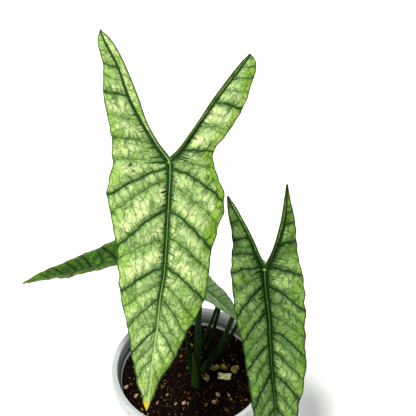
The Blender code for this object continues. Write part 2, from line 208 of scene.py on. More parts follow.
bpy.ops.object.select_all(action="DESELECT")
bpy.ops.mesh.primitive_circle_add(vertices=len(POT_PROFILE), radius=0.01)
pot = bpy.context.object
pot.name = "nursery_pot"
bpy.ops.object.mode_set(mode="EDIT")
bpy.ops.mesh.select_all(action="SELECT")
shape = bmesh.from_edit_mesh(pot.data)
shape.verts.ensure_lookup_table()
for vert, (radius, height) in zip(shape.verts, POT_PROFILE):
    vert.co = (radius * MM, 0, height * MM)
shape.edges.ensure_lookup_table()
closing = [e for e in shape.edges if {v.index for v in e.verts} == {0, len(POT_PROFILE) - 1}]
bmesh.ops.delete(shape, geom=closing, context="EDGES")
bmesh.update_edit_mesh(pot.data)
bpy.ops.mesh.select_all(action="SELECT")
bpy.ops.mesh.spin(steps=POT_STEPS, angle=2 * math.pi, center=(0, 0, 0), axis=(0, 0, 1))
bpy.ops.mesh.select_all(action="SELECT")
bpy.ops.mesh.remove_doubles(threshold=0.01 * MM)
bpy.ops.mesh.select_all(action="SELECT")
bpy.ops.mesh.normals_make_consistent(inside=False)
bpy.ops.object.mode_set(mode="OBJECT")
for i in range(DRAIN_HOLES):
    turn = 2 * math.pi * i / DRAIN_HOLES + DRAIN_TURN
    bpy.ops.mesh.primitive_cylinder_add(
        vertices=32, radius=DRAIN_RADIUS, depth=20 * MM,
        location=(DRAIN_CIRCLE * math.cos(turn), DRAIN_CIRCLE * math.sin(turn), 2 * MM))
    drill = bpy.context.object
    hole = pot.modifiers.new("hole", "BOOLEAN")
    hole.operation = "DIFFERENCE"
    hole.solver = "EXACT"
    hole.object = drill
    apply_modifiers(pot)
    bpy.data.objects.remove(drill)
smooth_by_angle(pot, 35)


def maths(operation, first, second=0.0, clamp=False):
    """A Math node. Each value is a number or another node's output."""
    return add_node(tree_of(first, second), "ShaderNodeMath", {0: first, 1: second},
                    operation=operation, use_clamp=clamp).outputs[0]


def times(first, second, clamp=False):
    return maths("MULTIPLY", first, second, clamp)


def plus(first, second, clamp=False):
    return maths("ADD", first, second, clamp)


def less(first, second):
    return maths("SUBTRACT", first, second)


def ramp_down(value, full, none):
    """1 where the value is at or under full, 0 from none on, and smooth between."""
    ends = {"Value": value, "From Min": full, "From Max": none, "To Min": 1.0, "To Max": 0.0}
    return add_node(tree_of(value), "ShaderNodeMapRange", ends,
                    interpolation_type="SMOOTHSTEP").outputs[0]


def ramp_up(value, none, full):
    return less(1.0, ramp_down(value, none, full))


def vector_maths(operation, first, second=(0, 0, 0), output=0):
    return add_node(tree_of(first), "ShaderNodeVectorMath", {0: first, 1: second},
                    operation=operation).outputs[output]


def rough_between(mask, low, high):
    """A roughness from low to high, as the mask goes from 0 to 1."""
    return add_node(tree_of(mask), "ShaderNodeMapRange",
                    {"Value": mask, "To Min": low, "To Max": high}).outputs[0]


pot_finish, tree, shader = new_finish("grey_polypropylene")
where = own_place(tree)
height = add_node(tree, "ShaderNodeSeparateXYZ", {0: where}).outputs[2]
radius = vector_maths("LENGTH", vector_maths("MULTIPLY", where, (1, 1, 0)), output="Value")
scuffs = cloud(vector_maths("MULTIPLY", where, SCUFF_STRETCH), 1.0, 3.0)
splash = cloud(where, 260.0, 2.0)
grey = mix_colours(cloud(where, 22.0, 3.0), (0.34, 0.37, 0.37, 1), (0.41, 0.44, 0.435, 1))
grey = mix_colours(times(ramp_down(scuffs, 0.34, 0.44), 0.25), grey, (0.56, 0.60, 0.59, 1))
low_dirt = times(ramp_down(height, 2 * MM, 50 * MM), ramp_down(splash, 0.36, 0.46))
dirt = maths("MAXIMUM", times(low_dirt, 0.5), times(ramp_down(splash, 0.30, 0.37), 0.35))
grey = mix_colours(dirt, grey, (0.10, 0.07, 0.045, 1))

# Painted shade darkens the wall inside, between the mix and the rim
inner_wall_shade = times(ramp_up(height, 92.5 * MM, 93.2 * MM), ramp_down(height, 96 * MM, 104.5 * MM))
inner_wall_shade = times(inner_wall_shade, ramp_down(radius, 55.2 * MM, 56 * MM))
grey = mix_colours(times(inner_wall_shade, 0.85), grey, (0.035, 0.04, 0.035, 1))
complete_finish(shader, grey, rough_between(scuffs, 0.32, 0.55), scuffs, 0.06 * MM, 0.5)
pot.data.materials.append(pot_finish)
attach(pot, "root")
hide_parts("pot")

# ---------------------------------------------------------------------------------------------
# The potting mix: one dark crumbly body that fills the pot up to 14 mm under its rim, with loose
# crumbs of peat, bark and light grit lying over it.

MIX_LEVEL = 91 * MM
MIX_CROWN = 1.5 * MM
MIX_LUMP = 0.7 * MM
MIX_EDGE = 53.0 * MM
MIX_FLOOR_RADIUS = 40.2 * MM
MIX_FLOOR = 5.7 * MM
MIX_CELLS = 190
CRUMBS = 2600


def mix_height(x, y):
    """The level of the mix: crowned, with soft lumps that fade at the pot's wall."""
    inside = max(0, 1 - (math.hypot(x, y) / (55.4 * MM)) ** 2)
    lumps = math.sin(x / (7 * MM) + 1) * math.cos(y / (6 * MM)) + math.sin((x - y) / (4 * MM))
    return MIX_LEVEL + inside * (MIX_CROWN + MIX_LUMP * lumps)


bpy.ops.object.select_all(action="DESELECT")
bpy.ops.mesh.primitive_grid_add(x_subdivisions=MIX_CELLS, y_subdivisions=MIX_CELLS, size=2)
mix = bpy.context.object
mix.name = "potting_mix"
for vert in mix.data.vertices:
    x, y = vert.co.x, vert.co.y
    x, y = MIX_EDGE * x * math.sqrt(1 - y * y / 2), MIX_EDGE * y * math.sqrt(1 - x * x / 2)
    near_wall = min(1, (MIX_EDGE - math.hypot(x, y)) / (2 * MM))
    place = Vector((x, y, 0))
    crumble = noise.fractal(place / (3.2 * MM), 0.8, 2.2, 4) * 0.9 * MM
    crumble += abs(noise.noise(place / (1.3 * MM))) * 0.8 * MM
    vert.co = (x, y, mix_height(x, y) - 0.5 * MM + crumble * near_wall)
bpy.ops.object.mode_set(mode="EDIT")
bpy.ops.mesh.select_all(action="DESELECT")
bpy.ops.mesh.select_non_manifold()
bpy.ops.mesh.extrude_region_move()
shape = bmesh.from_edit_mesh(mix.data)
for vert in [v for v in shape.verts if v.select]:
    spread = MIX_FLOOR_RADIUS / math.hypot(vert.co.x, vert.co.y)
    vert.co = (vert.co.x * spread, vert.co.y * spread, MIX_FLOOR)
bmesh.update_edit_mesh(mix.data)
bpy.ops.mesh.edge_face_add()
bpy.ops.mesh.select_all(action="SELECT")
bpy.ops.mesh.normals_make_consistent(inside=False)
bpy.ops.object.mode_set(mode="OBJECT")
smooth_by_angle(mix, 60)

mix_finish, tree, shader = new_finish("damp_potting_mix")
where = own_place(tree)
fine = cloud(where, 900.0, 4.0, 0.65)
specks = add_node(tree, "ShaderNodeTexVoronoi", {"Vector": where, "Scale": 620.0})
chance = add_node(tree, "ShaderNodeSeparateColor", {0: specks.outputs["Color"]}).outputs[0]
tan_speck = times(ramp_down(specks.outputs["Distance"], 0.22, 0.34), maths("GREATER_THAN", chance, 0.93))
dark = mix_colours(cloud(where, 60.0, 3.0), (0.0022, 0.0010, 0.0006, 1), (0.0070, 0.0028, 0.0013, 1))
dark = mix_colours(ramp_down(fine, 0.40, 0.52), dark, (0.0008, 0.0005, 0.0003, 1))
dark = mix_colours(tan_speck, dark, (0.22, 0.11, 0.03, 1))
complete_finish(shader, dark, 0.9, fine, 0.6 * MM, 0.9, gloss=0.03)
mix.data.materials.append(mix_finish)
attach(mix, "root")
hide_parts("soil")

# A crumb is modelled once, and each copy is turned, stretched and given its own tint: most are dark
# peat, some are bark, and a few are light grit.
PEAT_SHARE = 0.88
PEAT_AND_BARK_SHARE = 0.965
CRUMB_SIZES = [0.35, 0.55, 0.85, 1.3]
CRUMB_SIZE_SHARES = [0.4, 0.34, 0.2, 0.06]
bpy.ops.object.select_all(action="DESELECT")
bpy.ops.mesh.primitive_ico_sphere_add(subdivisions=1, radius=1)
crumb = bpy.context.object
crumb_points = np.array([v.co for v in crumb.data.vertices])
crumb_faces = np.array([p.vertices for p in crumb.data.polygons])
bpy.data.objects.remove(crumb)
draw = np.random.default_rng(7)
points, faces, tints = [], [], []
for i in range(CRUMBS):
    far = MIX_EDGE * 0.985 * math.sqrt(draw.random())
    turn = draw.random() * 2 * math.pi
    x, y = far * math.cos(turn), far * math.sin(turn)
    size = draw.choice(CRUMB_SIZES, p=CRUMB_SIZE_SHARES) * MM
    stretch = np.array([draw.uniform(0.9, 1.9), draw.uniform(0.7, 1.1), draw.uniform(0.45, 0.9)]) * size
    knobbly = crumb_points * draw.uniform(0.7, 1.15, (len(crumb_points), 1)) * stretch
    spin = Matrix.Rotation(draw.random() * 6.28, 3, "Z") @ Matrix.Rotation(draw.normal() * 0.4, 3, "X")
    faces.append(crumb_faces + len(crumb_points) * i)
    points.append(knobbly @ np.array(spin).T + (x, y, mix_height(x, y) + 0.25 * stretch[2]))
    kind = draw.random()
    if kind < PEAT_SHARE:
        tint = draw.uniform(0.0, 0.45)
    else:
        tint = draw.uniform(0.55, 0.75) if kind < PEAT_AND_BARK_SHARE else 1.0
    tints += [tint] * len(crumb_points)
mesh = bpy.data.meshes.new("crumbs")
mesh.from_pydata(np.vstack(points).tolist(), [], np.vstack(faces).tolist())
tint_layer = mesh.attributes.new("tint", "FLOAT", "POINT")
tint_layer.data.foreach_set("value", tints)
crumbs = bpy.data.objects.new("potting_mix_crumbs", mesh)
bpy.context.scene.collection.objects.link(crumbs)


def layer(tree, name):
    """The numbers that a piece keeps at its points under that name."""
    return add_node(tree, "ShaderNodeAttribute", attribute_name=name).outputs["Fac"]


crumb_finish, tree, shader = new_finish("peat_and_bark_crumbs")
ramp = add_node(tree, "ShaderNodeValToRGB", {0: layer(tree, "tint")})
stops = [(0.0, (0.0022, 0.0012, 0.0007, 1)), (0.42, (0.018, 0.0065, 0.0025, 1)),
         (0.55, (0.12, 0.05, 0.010, 1)), (0.75, (0.40, 0.20, 0.035, 1)), (1.0, (0.50, 0.36, 0.16, 1))]
while len(ramp.color_ramp.elements) < len(stops):
    ramp.color_ramp.elements.new(0.5)
for element, (position, colour) in zip(ramp.color_ramp.elements, stops):
    element.position = position
    element.color = colour
fine = cloud(own_place(tree), 1500.0, 3.0, 0.6)
brown = mix_colours(ramp_down(fine, 0.4, 0.55), ramp.outputs[0], (0.01, 0.006, 0.004, 1))
complete_finish(shader, brown, 0.8, fine, 0.3 * MM, 0.7, gloss=0.06)
crumbs.data.materials.append(crumb_finish)
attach(crumbs, "root")

# ---------------------------------------------------------------------------------------------
# The loose bits on the mix: one pale wood chip, three bits of bark, a curled dry husk and five
# grains of light grit. Each lies where its solid lies.


def rough_block(name, size, turn, roughness, grain, bites):
    """A broken block where its solid lies: a subdivided cube with corners knocked off, pitted by noise.
    Size, roughness and grain are in mm, and a higher grain gives closer pits that way."""
    low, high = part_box(name)
    bpy.ops.object.select_all(action="DESELECT")
    bpy.ops.mesh.primitive_cube_add(size=1)
    block = bpy.context.object
    block.name = f"{name}_looks"
    bpy.ops.object.mode_set(mode="EDIT")
    bpy.ops.mesh.select_all(action="SELECT")
    bpy.ops.mesh.subdivide(number_cuts=11)
    bpy.ops.object.mode_set(mode="OBJECT")
    draw = np.random.default_rng(sum(map(ord, name)))
    cuts = [(Vector(draw.normal(size=3)).normalized(), draw.uniform(0.42, 0.6)) for _ in range(bites)]
    middle = (low + high) / 2
    seat = Matrix.Rotation(math.radians(turn), 3, "Z")
    offset = Vector(draw.uniform(-9, 9, 3))
    for vert in block.data.vertices:
        co = vert.co.copy()
        for normal, depth in cuts:
            over = co.dot(normal) - depth
            if over > 0:
                co -= normal * over
        co = Vector([c * s for c, s in zip(co, size)])
        stretched = Vector([c * g for c, g in zip(co, grain)])
        pit = noise.fractal(stretched * 0.9 + offset, 0.9, 2.1, 4) * roughness
        co += co.normalized() * pit
        vert.co = middle + seat @ (co * MM)
    smooth_by_angle(block, 28)
    return block


def bit_finish(name, light, dark, scale, stretch, roughness):
    """A fibrous finish: light with dark fibres, which run as the stretch says, and a few stains."""
    material, tree, shader = new_finish(name)
    where = own_place(tree)
    fibres = cloud(vector_maths("MULTIPLY", where, stretch), scale, 5.0, 0.65)
    colour = mix_colours(ramp_down(fibres, 0.36, 0.62), light, dark)
    colour = mix_colours(ramp_down(cloud(where, 350.0, 3.0), 0.36, 0.48), colour, (0.06, 0.03, 0.015, 1))
    complete_finish(shader, colour, roughness, fibres, 0.3 * MM, 0.8)
    return material


# The chip's wood is pale partly by its own colour and partly as painted light, made paler where shade from
# the front leaf falls on it
chip_wood_and_painted_light = bit_finish("pale_wood", (0.78, 0.80, 0.46, 1), (0.50, 0.50, 0.22, 1), 500.0,
                         (0.35, 2.2, 1), 0.75)
bark_finish = bit_finish("yellow_bark", (0.52, 0.36, 0.06, 1), (0.10, 0.055, 0.008, 1), 700.0,
                         (1, 1.6, 1), 0.8)
grit_finish = bit_finish("pale_grit", (0.48, 0.33, 0.16, 1), (0.24, 0.14, 0.06, 1), 900.0,
                         (1, 1, 1), 0.8)

chip = rough_block("pale_wood_chip", (9.4, 5.0, 1.9), -8, 0.9, (0.45, 1.0, 0.6), 4)
chip.data.materials.append(chip_wood_and_painted_light)
bark_sizes = {"bark_bit_1": ((7.6, 4.2, 2.8), 15), "bark_bit_2": ((5.2, 3.3, 2.2), -30),
              "bark_bit_3": ((6.2, 4.7, 3.0), 60)}
loose_bits = {"pale_wood_chip": chip}
for name, (size, turn) in bark_sizes.items():
    loose_bits[name] = rough_block(name, size, turn, 1.2, (1.5, 1.5, 2.2), 9)
    loose_bits[name].data.materials.append(bark_finish)
for number, turn in enumerate((20, 35, -25, 70, 0), start=1):
    name = f"grit_stone_{number}"
    loose_bits[name] = rough_block(name, (2.9, 2.3, 1.7), turn, 0.35, (1, 1, 1), 6)
    loose_bits[name].data.materials.append(grit_finish)

# The husk is a thin scale of bark, curled along its length and ragged at its ends.
HUSK_CELLS = 24
low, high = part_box("dry_husk")
bpy.ops.object.select_all(action="DESELECT")
bpy.ops.mesh.primitive_grid_add(x_subdivisions=HUSK_CELLS, y_subdivisions=HUSK_CELLS, size=2)
husk = bpy.context.object
husk.name = "dry_husk_looks"
seat = Matrix.Rotation(math.radians(-60), 3, "Z")
for vert in husk.data.vertices:
    u, v = vert.co.x, vert.co.y
    ragged = 1 + 0.22 * noise.noise(Vector((v * 3, u * 2, 1)))
    bend = 1.5 * v
    co = Vector((3.3 * u * ragged, 2.2 * math.sin(bend) * (1 - 0.35 * u * u),
                 2.0 * (1 - math.cos(bend)) - 1.3))
    co.z += 0.5 * noise.noise(co * 0.9)
    vert.co = (low + high) / 2 + seat @ (co * MM)
skin = husk.modifiers.new("skin", "SOLIDIFY")
skin.thickness = 0.45 * MM
skin.offset = 0
apply_modifiers(husk)
smooth_by_angle(husk, 50)
husk.data.materials.append(bark_finish)
loose_bits["dry_husk"] = husk
for name, bit in loose_bits.items():
    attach(bit, "root")
    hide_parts(name)

# ---------------------------------------------------------------------------------------------
# The rootstock: a corm and its thick roots, brown and scaly, buried in the mix. It is the solid
# itself, which only gets a finish here.

root_finish = bit_finish("corm_skin", (0.42, 0.29, 0.15, 1), (0.20, 0.12, 0.05, 1), 260.0, (1, 1, 3), 0.8)
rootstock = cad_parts["rootstock"]
rootstock.data.materials.clear()
rootstock.data.materials.append(root_finish)

# ---------------------------------------------------------------------------------------------
# The stalks: four long leaf stalks and two old ones cut short. Each is a round fleshy stem, thicker
# at its foot, rolled from a grid along its path. A leaf's stalk bends over at the top and runs into
# the back of the blade.

STALKS = {  # radius at the foot and at the top, and the points that the stalk passes, in mm
    "front_leaf_stalk": (2.7, 1.5, [(4, -7, 85), (4, -7, 92), (5, -5, 130), (6, -3, 165), (7, -2, 225),
                                    (4, -6, 268), (-1, -17, 305), (-7, -32, 325), (-9, -39, 328.5),
                                    (-10, -45, 323)]),
    "right_leaf_stalk": (2.2, 1.2, [(9, 5, 85), (10, 5, 92), (16, 2, 112), (23, -1, 133), (32, -9, 176),
                                    (41, -17, 215), (46, -28, 240), (47, -38, 249), (47, -43.5, 249.5),
                                    (47.5, -48, 243)]),
    "left_leaf_stalk": (1.8, 1.0, [(0, 4, 85), (0, 4, 92), (-1, 4, 110), (-3, 3, 133), (-8, 2, 165),
                                   (-16, -2, 198), (-24, -8, 219), (-30, -13, 231), (-33, -14.8, 234),
                                   (-38, -14.8, 232)]),
    "back_leaf_stalk": (1.5, 0.8, [(2, 11, 85), (3, 11, 92), (7, 10, 112), (12, 9, 132), (18, 9, 155),
                                   (20, 7, 170), (17, 1, 186), (10, -8, 200), (5.5, -13.6, 206.5),
                                   (4.6, -15, 208), (7.5, -15.5, 205)]),
    "cut_stalk_1": (1.5, 1.2, [(9.5, 15, 85), (10, 15, 92), (17, 15, 129), (20, 14, 146), (21, 14, 154)]),
    "cut_stalk_2": (1.5, 1.2, [(15, 10, 85), (16, 10, 92), (27, 7, 123), (35, 5, 148), (36, 5, 152)]),
}
STALK_STEPS = 12
STALK_SIDES = 28
LEAF_END_ROWS = 2  # the last rows of a leaf stalk lie against the back of the blade
FOOT_SWELL = 0.35  # how much thicker a stalk gets at the level of the mix, as a share
FOOT_LEVEL = 92
FOOT_REACH = 14


def through_rows(rows, steps):
    """A smooth curve through rows of numbers, with so many steps from each row to the next."""
    rows = np.array(rows, float)
    guides = np.vstack([2 * rows[0] - rows[1], rows, 2 * rows[-1] - rows[-2]])
    curve = []
    for before, start, end, after in zip(guides, guides[1:], guides[2:], guides[3:]):
        for t in np.arange(steps) / steps:
            bend = 2 * before - 5 * start + 4 * end - after
            turn = 3 * start - before - 3 * end + after
            curve.append(start + 0.5 * (t * (end - before) + t**2 * bend + t**3 * turn))
    return np.array(curve + [rows[-1]])


def grid_piece(name, points):
    """A grid primitive with its points moved to those places, which come in rows."""
    rows, columns = points.shape[:2]
    bpy.ops.object.select_all(action="DESELECT")
    bpy.ops.mesh.primitive_grid_add(x_subdivisions=columns - 1, y_subdivisions=rows - 1, size=2)
    piece = bpy.context.object
    piece.name = name
    piece.data.vertices.foreach_set("co", np.ascontiguousarray(points, np.float32).ravel())
    piece.data.update()
    return piece


def put_layer(piece, name, values):
    """One number for each point of the piece, for its finish to read."""
    layer = piece.data.attributes.new(name, "FLOAT", "POINT")
    layer.data.foreach_set("value", np.ascontiguousarray(values, np.float32).ravel())


def close_tube(piece):
    """Joins a grid that was rolled into a tube, and fills its ends."""
    select_only(piece)
    bpy.ops.object.mode_set(mode="EDIT")
    bpy.ops.mesh.select_all(action="SELECT")
    bpy.ops.mesh.remove_doubles(threshold=0.002 * MM)
    bpy.ops.mesh.select_all(action="SELECT")
    bpy.ops.mesh.fill_holes(sides=0)
    bpy.ops.mesh.select_all(action="SELECT")
    bpy.ops.mesh.normals_make_consistent(inside=False)
    bpy.ops.object.mode_set(mode="OBJECT")


def stalk_radii(path, foot, top):
    """The stalk's radius at each point of its path in mm: tapered, and swollen at the level of the mix."""
    taper = np.interp(np.linspace(0, 1, len(path)), (0, 1), (foot, top))
    return taper * (1 + FOOT_SWELL * np.exp(-((path[:, 2] - FOOT_LEVEL) / FOOT_REACH) ** 2))


def join_xyz(x, y, z=0.0):
    return add_node(tree_of(x, y, z), "ShaderNodeCombineXYZ", {0: x, 1: y, 2: z}).outputs[0]


stalk_finish, tree, shader = new_finish("green_stalk")
along, round_it, share = layer(tree, "length"), layer(tree, "side"), layer(tree, "share")
level = add_node(tree, "ShaderNodeSeparateXYZ", {0: own_place(tree)}).outputs[2]
streaks = cloud(join_xyz(times(along, 45.0), round_it), 2.2, 4.0, 0.6)
bands = cloud(join_xyz(times(along, 420.0), times(round_it, 0.5)), 1.0, 3.0)
# The stalks are near black low down and greener from 190 mm up: partly their own darker foot, partly painted
# shade under the leaves
green = mix_colours(streaks, (0.0015, 0.008, 0.0007, 1), (0.005, 0.022, 0.0015, 1))
green = mix_colours(ramp_up(level, 190 * MM, 270 * MM), green, (0.022, 0.075, 0.008, 1))
green = mix_colours(times(ramp_down(bands, 0.38, 0.50), 0.55), green, (0.006, 0.022, 0.004, 1))
green = mix_colours(times(ramp_down(share, 0.0, 0.22), 0.4), green, (0.014, 0.035, 0.004, 1))
complete_finish(shader, green, rough_between(bands, 0.35, 0.6), streaks, 0.2 * MM, 0.5, gloss=0.05)

for name, (foot, top, rows) in STALKS.items():
    path = through_rows(rows, STALK_STEPS)
    steps = len(path)
    radii = stalk_radii(path, foot, top)
    if name.startswith("cut"):
        radii[-3:] *= (1.0, 0.93, 0.7)  # the cut end is rounded
    else:
        last = LEAF_END_ROWS * STALK_STEPS
        radii[-last:] *= np.linspace(1, 0.35, last)
    forward = np.gradient(path, axis=0)
    forward /= np.linalg.norm(forward, axis=1)[:, None]
    side = np.array([1.0, 0, 0])
    rings = np.empty((steps, STALK_SIDES + 1, 3))
    angles = np.linspace(0, 2 * math.pi, STALK_SIDES + 1)
    groove = 1 - 0.10 * np.exp(-((angles - 4.4) / 0.35) ** 2)
    for i in range(steps):
        side = side - side.dot(forward[i]) * forward[i]
        side /= np.linalg.norm(side)
        other = np.cross(forward[i], side)
        ring = np.cos(angles)[:, None] * side + np.sin(angles)[:, None] * other
        rings[i] = path[i] + radii[i] * groove[:, None] * ring
    stalk = grid_piece(f"{name}_looks", rings * MM)
    run = np.concatenate([[0], np.cumsum(np.linalg.norm(np.diff(path, axis=0), axis=1))]) * MM
    put_layer(stalk, "length", np.repeat(run, STALK_SIDES + 1))
    put_layer(stalk, "share", np.repeat(run / run[-1], STALK_SIDES + 1))
    put_layer(stalk, "side", np.tile(np.cos(angles) + 0.3 * np.sin(angles), steps))
    close_tube(stalk)
    smooth_by_angle(stalk, 50)
    stalk.data.materials.append(stalk_finish)
    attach(stalk, "root")
    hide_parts(name)

# ---------------------------------------------------------------------------------------------
# The sheaths: thin skins that clasp the foot of the two front stalks. They are green below, and dry
# to brown at their points.

SHEATHS = {  # the stalk, lowest and highest level, gap to the stalk in mm, and the arc in degrees
    "front_leaf_sheath": ("front_leaf_stalk", 90, 128, 0.7, (120, 300)),
    "right_leaf_sheath": ("right_leaf_stalk", 91, 118, 0.7, (150, 320)),
}
SHEATH_ROWS = 48
SHEATH_COLUMNS = 30

sheath_finish, tree, shader = new_finish("stalk_sheath")
share = layer(tree, "share")
fibres = cloud(join_xyz(times(layer(tree, "side"), 14.0), share), 2.0, 3.0)
green = mix_colours(fibres, (0.006, 0.022, 0.002, 1), (0.018, 0.045, 0.005, 1))
green = mix_colours(ramp_up(share, 0.45, 0.85), green, (0.020, 0.020, 0.006, 1))
complete_finish(shader, green, 0.6, fibres, 0.2 * MM, 0.6, gloss=0.1)

for name, (stalk_name, low_level, high_level, gap, arc) in SHEATHS.items():
    foot, top, rows = STALKS[stalk_name]
    path = through_rows(rows, STALK_STEPS)
    radii = stalk_radii(path, foot, top)
    points = np.empty((SHEATH_ROWS, SHEATH_COLUMNS, 3))
    shares = np.linspace(0, 1, SHEATH_ROWS)
    columns = np.linspace(-1, 1, SHEATH_COLUMNS)
    rise = path[:4 * STALK_STEPS]
    for i, share_up in enumerate(shares):
        level = low_level + (high_level - low_level) * share_up
        centre = [np.interp(level, rise[:, 2], rise[:, axis]) for axis in (0, 1)]
        radius = np.interp(level, rise[:, 2], radii[:len(rise)]) + gap
        half = math.radians(arc[1] - arc[0]) / 2 * (1 - 0.97 * share_up**2.2)
        angle = math.radians(sum(arc) / 2) + half * columns
        flare = radius + 0.9 * share_up**3 + 0.25 * np.sin(3 * angle + 4 * share_up) * share_up
        points[i] = np.stack([centre[0] + flare * np.cos(angle), centre[1] + flare * np.sin(angle),
                              np.full(SHEATH_COLUMNS, level)], axis=1)
    sheath = grid_piece(f"{name}_looks", points * MM)
    put_layer(sheath, "share", np.repeat(shares, SHEATH_COLUMNS))
    put_layer(sheath, "side", np.tile(columns, SHEATH_ROWS))
    skin = sheath.modifiers.new("skin", "SOLIDIFY")
    skin.thickness = 0.4 * MM
    skin.offset = 0
    apply_modifiers(sheath)
    smooth_by_angle(sheath, 60)
    sheath.data.materials.append(sheath_finish)
    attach(sheath, "root")
    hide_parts(name)

# ---------------------------------------------------------------------------------------------
# The four leaf blades: thin leathery sheets, two long lobes and a body round one notch. The veins
# are sunk and the leaf swells between them; under the leaf the ribs stand out and are paler.

# Outlines of the two leaf forms in mm: p runs across the leaf, q from the notch to the tip.
# A lobe's rows go from its tip to the notch (rib, outer margin, inner margin), and the body's
# rows from the notch to the tip (midrib, left margin, right margin).
BROAD_LEFT_LOBE = [
    (-44, -68, -44, -68, -44, -68), (-41, -62, -45, -61, -38, -64), (-37, -56, -43, -56, -33, -58),
    (-32, -48, -41, -50, -28, -50), (-25, -33, -39, -35, -20, -35), (-17, -21, -36, -23, -14, -21),
    (-8, -9, -33, -11, -6, -9), (0, 0, -31, 3, 0, -2),
]
BROAD_RIGHT_LOBE = [
    (39, -63, 39, -63, 39, -63), (37, -59, 42, -60, 36, -60), (34, -54, 42.8, -56, 33, -56),
    (30, -48, 42, -50, 29, -50), (22, -35, 37.5, -33, 21, -37), (14, -21, 31.5, -21, 14, -24),
    (6, -7, 24, -8, 6, -10), (0, 0, 26, 1, 0, -2),
]
BROAD_BODY = [
    (0, 0, -31, 3, 26, 1), (1, 4, -32.5, 22, 33, 19), (2, 27, -25, 50, 28.5, 47), (3, 60, -21, 76, 27, 77),
    (2, 78, -15.5, 97, 18.5, 98), (2, 96, -12, 114, 14, 114), (1, 116, -7.5, 129, 7, 128),
    (1, 136, -3, 143, 3, 142), (0, 151, 0, 151, 0, 151),
]
SLIM_LEFT_LOBE = [
    (-20, -46, -20, -46, -20, -46), (-17, -39, -20, -39, -16, -41), (-13, -31, -19, -30, -12, -33),
    (-8, -20, -18, -20, -7, -22), (-4, -9, -19, -12, -3, -11), (0, 0, -20, -1, 0, -2),
]
SLIM_RIGHT_LOBE = [
    (17, -51, 17, -51, 17, -51), (16, -43, 18, -43, 15, -44), (15, -34, 19, -35, 13, -35),
    (13, -26, 20, -29, 11, -27), (8, -13, 20, -18, 7, -15), (3, -4, 21, -6, 3, -6), (0, 0, 23, 3, 0, -2),
]
SLIM_BODY = [
    (0, 0, -20, -1, 23, 3), (0, 11, -19, 26, 23, 24), (1, 27, -16, 42, 22, 40), (1, 38, -15, 51, 22, 52),
    (1, 47, -14, 60, 21, 62), (1, 66, -12, 85, 17, 80), (2, 88, -9, 103, 12, 102), (1, 108, -4, 117, 6, 117),
    (0, 130, 0, 130, 0, 130),
]

# Side veins, as (row at the rib, row at the margin, strength). A row counts from the lobe's tip.
BROAD_LEFT_VEINS = [
    (1.0, 0.8, 0.2), (2.0, 1.9, 0.4), (3.0, 3.0, 0.8), (3.5, 3.45, 0.3), (4.0, 4.0, 1.0), (5.0, 5.0, 0.3),
    (6.0, 6.0, 0.6), (7.1, 6.9, 0.3), (8.0, 8.0, 1.0), (8.35, 8.36, 0.5), (9.0, 9.0, 1.0), (9.52, 9.25, 0.4),
    (10.0, 10.0, 1.0), (10.45, 10.4, 0.4), (11.0, 11.0, 0.8), (11.5, 11.5, 0.3), (12.0, 12.0, 1.0),
    (12.5, 12.5, 0.3), (13.0, 13.0, 0.6), (14.0, 14.0, 0.3),
]
BROAD_RIGHT_VEINS = [
    (1.0, 0.8, 0.2), (2.0, 1.9, 0.5), (3.0, 3.0, 0.6), (3.5, 3.5, 0.3), (4.0, 4.0, 1.0), (5.0, 5.0, 0.3),
    (6.0, 6.0, 1.0), (7.15, 7.0, 0.4), (8.0, 8.0, 1.0), (8.5, 8.5, 0.3), (9.0, 9.0, 1.0), (9.45, 9.41, 0.6),
    (10.0, 10.0, 1.0), (10.5, 10.5, 0.5), (11.0, 11.0, 0.7), (11.5, 11.5, 0.4), (12.0, 12.0, 0.8),
    (12.6, 12.6, 0.3), (13.2, 13.2, 0.5), (14.0, 14.0, 0.3),
]
SLIM_LEFT_VEINS = [
    (1.0, 0.9, 0.3), (2.0, 2.0, 0.7), (3.0, 3.0, 1.0), (3.6, 3.5, 0.3), (4.0, 4.0, 0.8), (5.0, 5.0, 1.0),
    (5.5, 5.5, 0.3), (6.0, 6.0, 1.0), (6.5, 6.5, 0.4), (7.0, 7.0, 1.0), (8.0, 8.0, 0.4), (9.0, 9.0, 1.0),
    (9.5, 9.5, 0.4), (10.0, 10.0, 1.0), (10.5, 10.5, 0.4), (11.0, 11.0, 1.0), (12.0, 12.0, 0.5),
]
SLIM_RIGHT_VEINS = [
    (1.0, 0.9, 0.4), (2.0, 2.0, 0.8), (3.0, 3.0, 0.8), (4.0, 4.0, 1.0), (4.6, 4.5, 0.3), (6.0, 6.0, 1.0),
    (7.0, 7.0, 1.0), (7.6, 7.5, 0.4), (8.2, 8.0, 0.5), (9.0, 9.0, 1.0), (9.6, 9.7, 0.4), (10.3, 10.3, 0.7),
    (11.0, 11.0, 1.0), (11.5, 11.5, 0.4), (12.0, 12.0, 1.0), (13.0, 13.0, 0.5),
]
BROAD_LEAF = (BROAD_BODY, (BROAD_LEFT_LOBE, BROAD_LEFT_VEINS, 2), (BROAD_RIGHT_LOBE, BROAD_RIGHT_VEINS, 4))
SLIM_LEAF = (SLIM_BODY, (SLIM_LEFT_LOBE, SLIM_LEFT_VEINS, 2), (SLIM_RIGHT_LOBE, SLIM_RIGHT_VEINS, 4))

